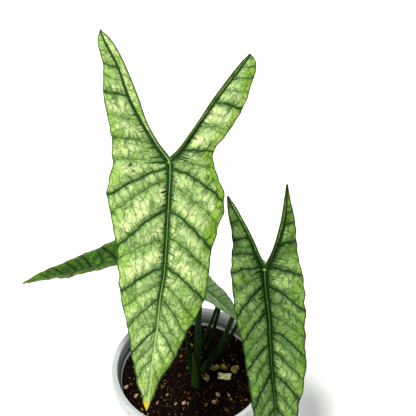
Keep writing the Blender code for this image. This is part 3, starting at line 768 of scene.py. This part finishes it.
# Each leaf in mm: its form and scale, its notch and tip, which way its upper face looks, how many
# degrees its halves rise from the midrib, how it swells and bows, how far its lobes lean back, and
# how many rows and columns its mesh has between two rows of the outline and across a half.
LEAVES = {
    "front_leaf": dict(form=BROAD_LEAF, size=1.0, notch=(-9, -41, 331), tip=(-24, -110, 197),
                       faces=(0.02, -0.89, 0.46), fold=0, swell=2.5, bow=6, lean=9, steps=24, cross=40,
                       dry_tip=1.0),
    "right_leaf": dict(form=SLIM_LEAF, size=1.0, notch=(47, -45, 251), tip=(56, -111, 139),
                       faces=(-0.05, -0.86, 0.5), fold=22, swell=1.5, bow=5, lean=5, steps=22, cross=32),
    "left_leaf": dict(form=BROAD_LEAF, size=0.575, notch=(-33, -15, 235), tip=(-113, -9, 202),
                      faces=(-0.36, 0.25, 0.88), fold=16, swell=1.5, bow=-1, lean=3, steps=18, cross=30),
    "back_leaf": dict(form=BROAD_LEAF, size=0.34, notch=(4, -15, 209), tip=(39, -21, 172),
                      faces=(0.5, -0.1, 0.8), fold=12, swell=0.8, bow=1, lean=1, steps=12, cross=24),
}
# Small brown marks on the front leaf: place across and along, and radius, in mm
FRONT_LEAF_MARKS = [(-21, 3, 1.3), (-22, 27, 1.0), (-16, 30, 0.9), (-27, 26, 0.8), (15, -8, 0.9),
                    (16, 8, 1.0), (-12, -14, 0.8), (22, 5, 0.7), (-19, 6, 0.8)]

LEAF_THICKNESS = 0.55 * MM
RIB_THICKNESS = 2.3 * MM
RIB_REACH = 1.6  # mm from its middle to where a rib has lost most of its height
LOBE_LENGTH = 70  # mm over which a lobe's rib gets thin
WEIGHT_LEVELS = 50
SMALLEST_RIBS = 0.5  # ribs shrink with the leaf, but to no less than this share
VEIN_BOW = 3.3  # mm that a side vein of full length bends back towards the notch
LOBE_VEIN_BOW = 1.5
LOBE_EDGE_FOLD = 50  # degrees that the strip inside a lobe's rib stands up
LOBE_EDGE_CROSS = 8
RIB_END = 22  # mm before a tip from where a rib's relief fades out
HIGHEST_BLISTER = 2.0


def leaf_frame(leaf):
    """The notch, and unit vectors across the leaf, along it, and out of its upper face."""
    notch = np.array(leaf["notch"], float)
    along = np.array(leaf["tip"], float) - notch
    along /= np.linalg.norm(along)
    out = np.array(leaf["faces"]) - np.dot(leaf["faces"], along) * along
    out /= np.linalg.norm(out)
    return notch, np.cross(out, along), along, out


def place_on_leaf(leaf, p, q, rise):
    """Points of the blade in metres, from their places on the flat outline and their rise, in mm."""
    body, (left_lobe, _, _), _ = leaf["form"]
    body_share = np.clip(q / body[-1][1], 0, 1)
    lobe_share = np.clip(q / left_lobe[0][1], 0, None)
    bend = np.where(q > 0, leaf["bow"] * np.sin(math.pi * body_share), -leaf["lean"] * lobe_share**2)
    notch, across, along, out = leaf_frame(leaf)
    height = leaf["size"] * rise + bend
    flat = leaf["size"] * (p[..., None] * across + q[..., None] * along)
    return (notch + flat + height[..., None] * out) * MM


def smooth_step(low, high, value):
    share = np.clip((value - low) / (high - low), 0, 1)
    return share * share * (3 - 2 * share)


def vein_field(rows, shares, veins, gaps):
    """How far each point is from the nearest side vein in mm, with a sign that turns at each vein, and
    the strength of that vein."""
    field = np.zeros_like(rows)
    strength = np.zeros_like(rows)
    fenced = [(-1.0, -1.0, 0.0), *veins, (rows.max() + 1.0, rows.max() + 1.0, 0.0)]
    for k, (first, second) in enumerate(zip(fenced, fenced[1:])):
        start = first[0] + (first[1] - first[0]) * shares
        end = second[0] + (second[1] - second[0]) * shares
        between = (rows >= start) & (rows <= end)
        x = np.clip((rows - start) / (end - start), 0, 1)
        wave = np.sin(math.pi * x) * (end - start) * gaps / math.pi * (-1) ** k
        near = first[2] + (second[2] - first[2]) * smooth_step(0.35, 0.65, x)
        field[between] = wave[between]
        strength[between] = near[between]
    return field, strength


def wavy(p, q, length, seed):
    """Smooth noise over the flat leaf, from about -1 to 1."""
    flat = zip(p.ravel() / length, q.ravel() / length)
    return np.array([noise.noise(Vector((a, b, seed))) for a, b in flat]).reshape(p.shape)


def rib_depth(q, lobe_tip, body_tip):
    """1 along the ribs, and down to 0 where they end at the tips."""
    return smooth_step(0, RIB_END, np.where(q > 0, body_tip - q, q - lobe_tip))


def rib_trough(gap):
    """The relief beside a rib in mm: a trough, with the rib itself as a low ridge in it."""
    return -0.7 * np.exp(-((gap / 2.6) ** 2)) + 0.45 * np.exp(-((gap / 0.55) ** 2))


def half_blade(leaf, lobe, veins, column):
    """One half of a blade, from its rib and midrib to its outer margin, with its layers."""
    body = np.array(leaf["form"][0], float)
    lobe = np.array(lobe, float)
    steps = leaf["steps"]
    rib = through_rows(lobe[:, :2], steps)
    midrib = through_rows(body[:, :2], steps)
    spine = np.vstack([rib[:-1], midrib])
    margin = through_rows(np.vstack([lobe[:-1, 2:4], body[:, column:column + 2]]), steps)
    shares = np.linspace(0, 1, leaf["cross"] + 1) ** 1.25
    rows = np.repeat((np.arange(len(spine)) / steps)[:, None], len(shares), axis=1)
    shares = np.repeat(shares[None], len(spine), axis=0)
    reach = margin - spine
    width = np.hypot(*reach.T)[:, None]
    widest = width.max()

    notch_row = len(lobe) - 1
    vein_bow = LOBE_VEIN_BOW + (VEIN_BOW - LOBE_VEIN_BOW) * smooth_step(notch_row - 1, notch_row + 1, rows)
    p = spine[:, None, 0] + reach[:, None, 0] * shares
    q = spine[:, None, 1] + reach[:, None, 1] * shares
    q = q - vein_bow * np.sin(math.pi * shares**0.75) * width / widest

    along_rows = np.stack([np.gradient(p, axis=0), np.gradient(q, axis=0)], axis=-1) * steps
    across_rows = np.stack([np.gradient(p, axis=1), np.gradient(q, axis=1)], axis=-1)
    crossing = np.abs(along_rows[..., 0] * across_rows[..., 1] - along_rows[..., 1] * across_rows[..., 0])
    across_length = np.linalg.norm(across_rows, axis=-1) + 1e-9
    gaps = crossing / across_length
    slant = crossing / (across_length * (np.linalg.norm(along_rows, axis=-1) + 1e-9))
    run = shares * width
    rib_gap = run * slant[:, 1][:, None]
    edge_gap = (width - run) * slant[:, -2][:, None]
    field, strength = vein_field(rows, shares, veins, gaps)

    fold = math.tan(math.radians(leaf["fold"])) * run
    swell = leaf["swell"] * width / widest * np.sin(math.pi * shares)
    blister = 1 - np.exp(-((field / 2.4) ** 2))
    blister_height = np.minimum(HIGHEST_BLISTER, 0.42 * np.sqrt(np.abs(gaps) + 1e-9))
    blister_height = blister_height * (0.35 + 0.65 * strength)
    inner = smooth_step(0, 5, rib_gap) * (0.35 + 0.65 * smooth_step(0, 4, edge_gap))
    puckers = 0.65 * wavy(p, q, 6.0, 1.5) + 0.30 * wavy(p, q, 2.6, 4.5)
    trough = rib_trough(rib_gap) * rib_depth(spine[:, 1], lobe[0][1], body[-1][1])[:, None]
    rise = fold + swell + (blister * blister_height + puckers) * inner * smooth_step(0, 9, width) + trough
    ruffle = 1.3 * wavy(p * 0.5, q, 9.0, 8.5 + column) * smooth_step(9, 0, edge_gap)
    rise = rise + ruffle * smooth_step(0, 6, width) * smooth_step(0, 0.3, shares)

    nibble = 0.9 * wavy(p * 0.2, q, 5.0, 12.5 + column) * smooth_step(0, 6, width) * shares**3
    p = p + nibble * np.sign(reach[:, None, 0] + 1e-9)
    points = place_on_leaf(leaf, p, q, rise)
    lobe_share = np.clip(q / lobe[0][1], 0, 1)
    body_share = np.clip(q / body[-1][1], 0, 1)
    band = np.where(q > 0, 1 - 0.35 * body_share, 0.18 + 0.6 * (1 - lobe_share) ** 2)
    layers = dict(vein=field, strength=strength, run=run, rib=rib_gap, edge=edge_gap,
                  row=rows + 20 * column, shade=rib_gap / band)
    return points, p, q, layers


def lobe_edge(leaf, lobe, column):
    """The narrow strip inside a lobe's rib, which folds up towards the light."""
    lobe = np.array(lobe, float)
    steps = leaf["steps"]
    rib = through_rows(lobe[:, :2], steps)
    inner = through_rows(lobe[:, 4:], steps)
    shares = np.repeat(np.linspace(0, 1, LOBE_EDGE_CROSS + 1)[None], len(rib), axis=0)
    rows = np.repeat((np.arange(len(rib)) / steps)[:, None], LOBE_EDGE_CROSS + 1, axis=1)
    reach = inner - rib
    width = np.hypot(*reach.T)[:, None]
    p = rib[:, None, 0] + reach[:, None, 0] * shares
    q = rib[:, None, 1] + reach[:, None, 1] * shares
    run = shares * width
    rise = math.tan(math.radians(LOBE_EDGE_FOLD)) * run * (1 - 0.25 * shares)
    rise = rise + rib_trough(run) * rib_depth(rib[:, 1], lobe[0][1], 1.0)[:, None]
    rise = rise + 0.5 * wavy(p * 0.3, q, 6.0, 20.5 + column) * shares * smooth_step(0, 3, width)
    layers = dict(vein=np.full_like(p, 4.0), strength=np.zeros_like(p), run=run, rib=run,
                  edge=width - run, row=rows + 20 * column + 10,
                  shade=run * 1.6 + 4.0 * smooth_step(0.0, 0.5, shares))
    return place_on_leaf(leaf, p, q, rise), p, q, layers


def blade_part(leaf, made, flip):
    """A grid of the blade with its layers, its faces turned to the leaf's upper side."""
    points, p, q, layers = made
    if flip:
        points, p, q = points[:, ::-1], p[:, ::-1], q[:, ::-1]
        layers = {name: values[:, ::-1] for name, values in layers.items()}
    part = grid_piece("blade_part", points)
    for name, values in layers.items():
        put_layer(part, name, values)
    put_layer(part, "across", p)
    put_layer(part, "along", q)
    body_length = leaf["form"][0][-1][1]
    put_layer(part, "tip", smooth_step(body_length - 9, body_length - 3, q) * leaf.get("dry_tip", 0.0))
    return part


def cell_walls(vector, scale, thin, wide):
    """1 along the walls between irregular cells, and 0 inside them."""
    cells = add_node(tree_of(vector), "ShaderNodeTexVoronoi", {"Vector": vector, "Scale": scale},
                     feature="DISTANCE_TO_EDGE")
    return ramp_down(cells.outputs["Distance"], thin, wide)


def leaf_pattern_group():
    """The upper side's colouring: silvery fields between dark feathered veins, green at the edge. All
    lengths are in mm on the flat leaf, and a scale is cells or clouds per mm."""
    group = bpy.data.node_groups.new("leaf_pattern", "ShaderNodeTree")
    for name in ("Silver", "Flesh", "Vein", "Edge", "Rib"):
        group.interface.new_socket(name, in_out="INPUT", socket_type="NodeSocketColor")
    for name in ("Seed", "Rib Width"):
        group.interface.new_socket(name, in_out="INPUT", socket_type="NodeSocketFloat")
    group.interface.new_socket("Color", in_out="OUTPUT", socket_type="NodeSocketColor")
    for name in ("Roughness", "Height"):
        group.interface.new_socket(name, in_out="OUTPUT", socket_type="NodeSocketFloat")
    given = group.nodes.new("NodeGroupInput").outputs
    result = group.nodes.new("NodeGroupOutput").inputs
    across, along, rib, edge, run, row, shade, strength, tip, marks, side_vein = (
        layer(group, name) for name in (
            "across", "along", "rib", "edge", "run", "row", "shade", "strength", "tip", "marks", "vein"))
    flat = join_xyz(across, along, given["Seed"])

    # The line of each side vein, which wanders a little, and the dark barbs that stand off it
    vein = plus(side_vein, times(less(cloud(flat, 0.16, 3.0), 0.5), 3.0))
    gap = maths("ABSOLUTE", vein)
    line_width = plus(times(strength, 0.31), 0.12)
    line = ramp_down(gap, times(line_width, 0.7), times(line_width, 2.1))
    line = times(line, plus(times(strength, 0.65), 0.3), clamp=True)
    slanted = plus(run, times(maths("MAXIMUM", along, 0.0), 0.6))
    barbs = cloud(join_xyz(times(slanted, 0.62), times(vein, 0.10), times(along, 0.02)), 1.0, 1.5)
    barbs = less(less(barbs, 0.44), times(gap, 0.042))
    barbs = times(times(barbs, 9.0, clamp=True), times(strength, 0.75))
    # Beside each side vein a soft dark band: partly the vein's dark tissue, partly painted shade in the
    # sunken trough along it
    vein_band_and_shade = times(ramp_down(gap, 0.4, 2.2), times(strength, 0.3))

    # The dark band and the barbs along the midrib and the ribs of the lobes, down to mid-leaf
    upper_part = ramp_down(along, 70.0, 125.0)
    rib_place = join_xyz(less(times(along, 0.95), times(rib, 0.25)), times(rib, 0.09), maths("SIGN", across))
    rib_barbs = less(less(cloud(rib_place, 1.0, 1.5), 0.40), times(shade, 0.036))
    rib_barbs = times(times(rib_barbs, 8.0, clamp=True), upper_part)
    rib_dark = times(ramp_down(shade, 1.2, 4.0), plus(times(upper_part, 0.85), 0.15))

    # Three nets of small veins: loose loops, rungs between the side veins, and fine meshes
    drift = vector_maths("SUBTRACT", cloud(flat, 0.13, 2.0, output=1), (0.5, 0.5, 0.5))
    loops_place = vector_maths("ADD", flat, vector_maths("MULTIPLY", drift, (7, 7, 7)))
    loops = cell_walls(loops_place, 0.15, 0.005, 0.08)
    rung_drift = times(less(cloud(flat, 0.17, 2.0), 0.5), 9.0)
    rungs = cell_walls(join_xyz(times(plus(slanted, rung_drift), 0.21),
                                times(plus(row, times(rung_drift, 0.06)), 2.3)), 1.0, 0.01, 0.08)
    wiggle = vector_maths("MULTIPLY", cloud(flat, 0.7, 1.0, output=1), (1.4, 1.4, 1.4))
    meshes = cell_walls(vector_maths("ADD", flat, wiggle), 0.62, 0.02, 0.22)

    # Silver lies in patches between the veins, more of it on the lobes, and paler near the tip as a painted
    # highlight; painted glints of light go over the silver
    patches = cloud(flat, 0.09, 2.0)
    silver = times(ramp_up(gap, 0.4, 4.5), ramp_up(patches, 0.34, 0.56))
    silver = plus(times(silver, 0.70), 0.27)
    lobe_tone_and_tip_highlight = plus(times(ramp_down(along, -40.0, -5.0), 0.12), times(ramp_up(along, 75.0, 115.0), 0.24))
    silver = plus(silver, lobe_tone_and_tip_highlight, clamp=True)
    colour = mix_colours(silver, given["Flesh"], given["Silver"])
    painted_glints = ramp_up(cloud(flat, 0.22, 1.5, 0.5), 0.48, 0.66)
    colour = mix_colours(times(times(painted_glints, silver), 0.24), colour, given["Silver"], "ADD")

    # The fresh green band inside the margin is the leaf's own colour; it is made stronger on the leaf's right
    # half as painted light along that lit margin
    edge_band = ramp_down(plus(edge, times(less(patches, 0.5), 16.0)), 0.0, 8.0)
    painted_light_right_half = less(1.0, times(ramp_down(across, -8.0, 8.0), 0.45))
    colour = mix_colours(times(edge_band, times(painted_light_right_half, 0.85)), colour, given["Edge"])

    # The nets, the veins and the ribs go over it
    colour = mix_colours(times(meshes, 0.16), colour, given["Flesh"])
    net = maths("MAXIMUM", times(loops, 0.6), rungs)
    colour = mix_colours(times(net, 0.62), colour, given["Vein"])
    colour = mix_colours(vein_band_and_shade, colour, given["Vein"])
    feather = maths("MAXIMUM", maths("MAXIMUM", line, times(barbs, 0.75)),
                    maths("MAXIMUM", rib_barbs, rib_dark))
    colour = mix_colours(feather, colour, given["Vein"])

    # The midrib is a green line, which gets wider and paler towards the tip
    low_part = ramp_up(along, 60.0, 120.0)
    wide = times(low_part, given["Rib Width"])
    rib_line = times(ramp_down(rib, plus(wide, 0.02), plus(wide, 0.42)), ramp_up(along, -1.0, 2.0))
    rib_colour = mix_colours(times(low_part, 0.6), given["Rib"], given["Silver"])
    colour = mix_colours(times(rib_line, 0.8), colour, rib_colour)

    # Last, the dark rim, the yellow spot where the stalk joins, the dry tip and the brown marks
    colour = mix_colours(times(ramp_down(edge, 0.3, 1.05), 0.85), colour, given["Vein"])
    from_notch = vector_maths("LENGTH", join_xyz(across, along), output="Value")
    colour = mix_colours(times(ramp_down(from_notch, 0.3, 1.2), 0.7), colour, (0.40, 0.60, 0.04, 1))
    colour = mix_colours(tip, colour, (0.52, 0.42, 0.03, 1))
    colour = mix_colours(marks, colour, (0.030, 0.035, 0.008, 1))
    group.links.new(colour, result["Color"])
    rough = plus(times(silver, 0.10), plus(times(meshes, 0.10), 0.30))
    group.links.new(rough, result["Roughness"])
    sunk = plus(times(loops, 0.9), plus(times(meshes, 0.35), line))
    group.links.new(less(1.0, sunk), result["Height"])
    return group


leaf_pattern = leaf_pattern_group()


def leaf_finish(name, silver, flesh, vein, edge, rib, seed, rib_width):
    material, tree, shader = new_finish(name)
    pattern = add_node(tree, "ShaderNodeGroup", node_tree=leaf_pattern)
    for socket, value in (("Silver", silver), ("Flesh", flesh), ("Vein", vein), ("Edge", edge), ("Rib", rib)):
        pattern.inputs[socket].default_value = (*value, 1)
    pattern.inputs["Seed"].default_value = seed
    pattern.inputs["Rib Width"].default_value = rib_width
    complete_finish(shader, pattern.outputs["Color"], pattern.outputs["Roughness"], pattern.outputs["Height"],
                    0.25 * MM, 0.8, gloss=0.16)
    return material


def underside_finish(name, flesh, vein):
    """Paler and duller than the upper side, with raised light ribs."""
    material, tree, shader = new_finish(name)
    where = own_place(tree)
    light_flesh = tuple(c * 1.35 for c in flesh)
    net = cell_walls(where, 420.0, 0.02, 0.2)
    colour = mix_colours(cloud(where, 60.0, 3.0), (*flesh, 1), (*light_flesh, 1))
    colour = mix_colours(times(net, 0.35), colour, (*vein, 1))
    lines = ramp_down(maths("ABSOLUTE", layer(tree, "vein")), 0.3, 1.1)
    colour = mix_colours(times(lines, 0.6), colour, (*vein, 1))
    colour = mix_colours(ramp_down(layer(tree, "rib"), 1.0, 2.2), colour, (0.36, 0.46, 0.16, 1))
    complete_finish(shader, colour, 0.55, net, 0.2 * MM, 0.5)
    return material


# The colours of each leaf's upper side: silver, flesh, vein, edge and rib, then the seed of its
# pattern and how much wider the midrib's line gets towards the tip, in mm
LEAF_FINISHES = {
    "front_leaf": leaf_finish("silver_green_leaf", (0.52, 0.63, 0.27), (0.11, 0.27, 0.030),
                              (0.003, 0.035, 0.003), (0.21, 0.39, 0.02), (0.20, 0.40, 0.04), 0.0, 0.8),
    "right_leaf": leaf_finish("green_leaf", (0.27, 0.41, 0.13), (0.042, 0.13, 0.014),
                              (0.002, 0.018, 0.002), (0.13, 0.26, 0.015), (0.07, 0.18, 0.02), 31.0, 0.0),
    "left_leaf": leaf_finish("deep_green_leaf", (0.052, 0.155, 0.008), (0.005, 0.024, 0.0015),
                             (0.001, 0.008, 0.001), (0.17, 0.31, 0.010), (0.010, 0.04, 0.004), 57.0, 0.0),
    # The back leaf is paler than the others: partly its own pale colour, partly painted light, as it lies in
    # the front leaf's shadow
    "back_leaf": leaf_finish("pale_back_leaf_with_painted_light", (0.50, 0.70, 0.30), (0.27, 0.45, 0.16),
                             (0.08, 0.22, 0.06), (0.24, 0.43, 0.10), (0.16, 0.34, 0.06), 83.0, 0.0),
}
underside = underside_finish("leaf_underside", (0.17, 0.30, 0.10), (0.07, 0.17, 0.04))

for name, leaf in LEAVES.items():
    parts = []
    for lobe, veins, column in leaf["form"][1:]:
        right = column == 4
        parts.append(blade_part(leaf, half_blade(leaf, lobe, veins, column), flip=right))
        parts.append(blade_part(leaf, lobe_edge(leaf, lobe, column), flip=not right))
    bpy.ops.object.select_all(action="DESELECT")
    for part in parts:
        part.select_set(True)
    bpy.context.view_layer.objects.active = parts[0]
    bpy.ops.object.join()
    blade = bpy.context.object
    blade.name = f"{name}_blade_looks"
    bpy.ops.object.mode_set(mode="EDIT")
    bpy.ops.mesh.select_all(action="SELECT")
    bpy.ops.mesh.remove_doubles(threshold=0.02 * MM)
    bpy.ops.mesh.select_all(action="SELECT")
    bpy.ops.mesh.dissolve_degenerate(threshold=0.02 * MM)
    bpy.ops.object.mode_set(mode="OBJECT")
    layers = {}
    for layer_name in ("rib", "vein", "strength", "run", "across", "along"):
        layers[layer_name] = np.empty(len(blade.data.vertices), np.float32)
        blade.data.attributes[layer_name].data.foreach_get("value", layers[layer_name])
    marks = np.zeros(len(blade.data.vertices))
    if name == "front_leaf":
        for across, along, radius in FRONT_LEAF_MARKS:
            distance = np.hypot(layers["across"] - across, layers["along"] - along)
            marks = np.maximum(marks, smooth_step(radius * 1.25, radius * 0.55, distance))
    put_layer(blade, "marks", marks)

    # The ribs stand out under the leaf where its skin is thickest, and run out towards the tips
    body_length = leaf["form"][0][-1][1]
    taper = np.where(layers["along"] > 0, 1 - 0.8 * layers["along"] / body_length,
                     1 + 0.8 * layers["along"] / LOBE_LENGTH)
    ribs = np.exp(-((layers["rib"] / (RIB_REACH * np.maximum(taper, 0.3))) ** 2)) * np.clip(taper, 0.05, 1)
    side_veins = 0.3 * layers["strength"] * np.exp(-((layers["vein"] / 0.7) ** 2) - layers["run"] / 18)
    weights = np.clip(np.maximum(ribs, side_veins), 0, 1)
    group = blade.vertex_groups.new(name="ribs")
    for level in range(WEIGHT_LEVELS + 1):
        members = np.nonzero(np.round(weights * WEIGHT_LEVELS) == level)[0].tolist()
        group.add(members, level / WEIGHT_LEVELS, "REPLACE")
    skin = blade.modifiers.new("skin", "SOLIDIFY")
    skin.thickness = RIB_THICKNESS * max(leaf["size"], SMALLEST_RIBS)
    skin.offset = -1
    skin.vertex_group = "ribs"
    skin.thickness_vertex_group = LEAF_THICKNESS / RIB_THICKNESS
    skin.material_offset = 1
    blade.data.materials.append(LEAF_FINISHES[name])
    blade.data.materials.append(underside)
    apply_modifiers(blade)
    smooth_by_angle(blade, 60)
    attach(blade, "root")
    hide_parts(f"{name}_blade")
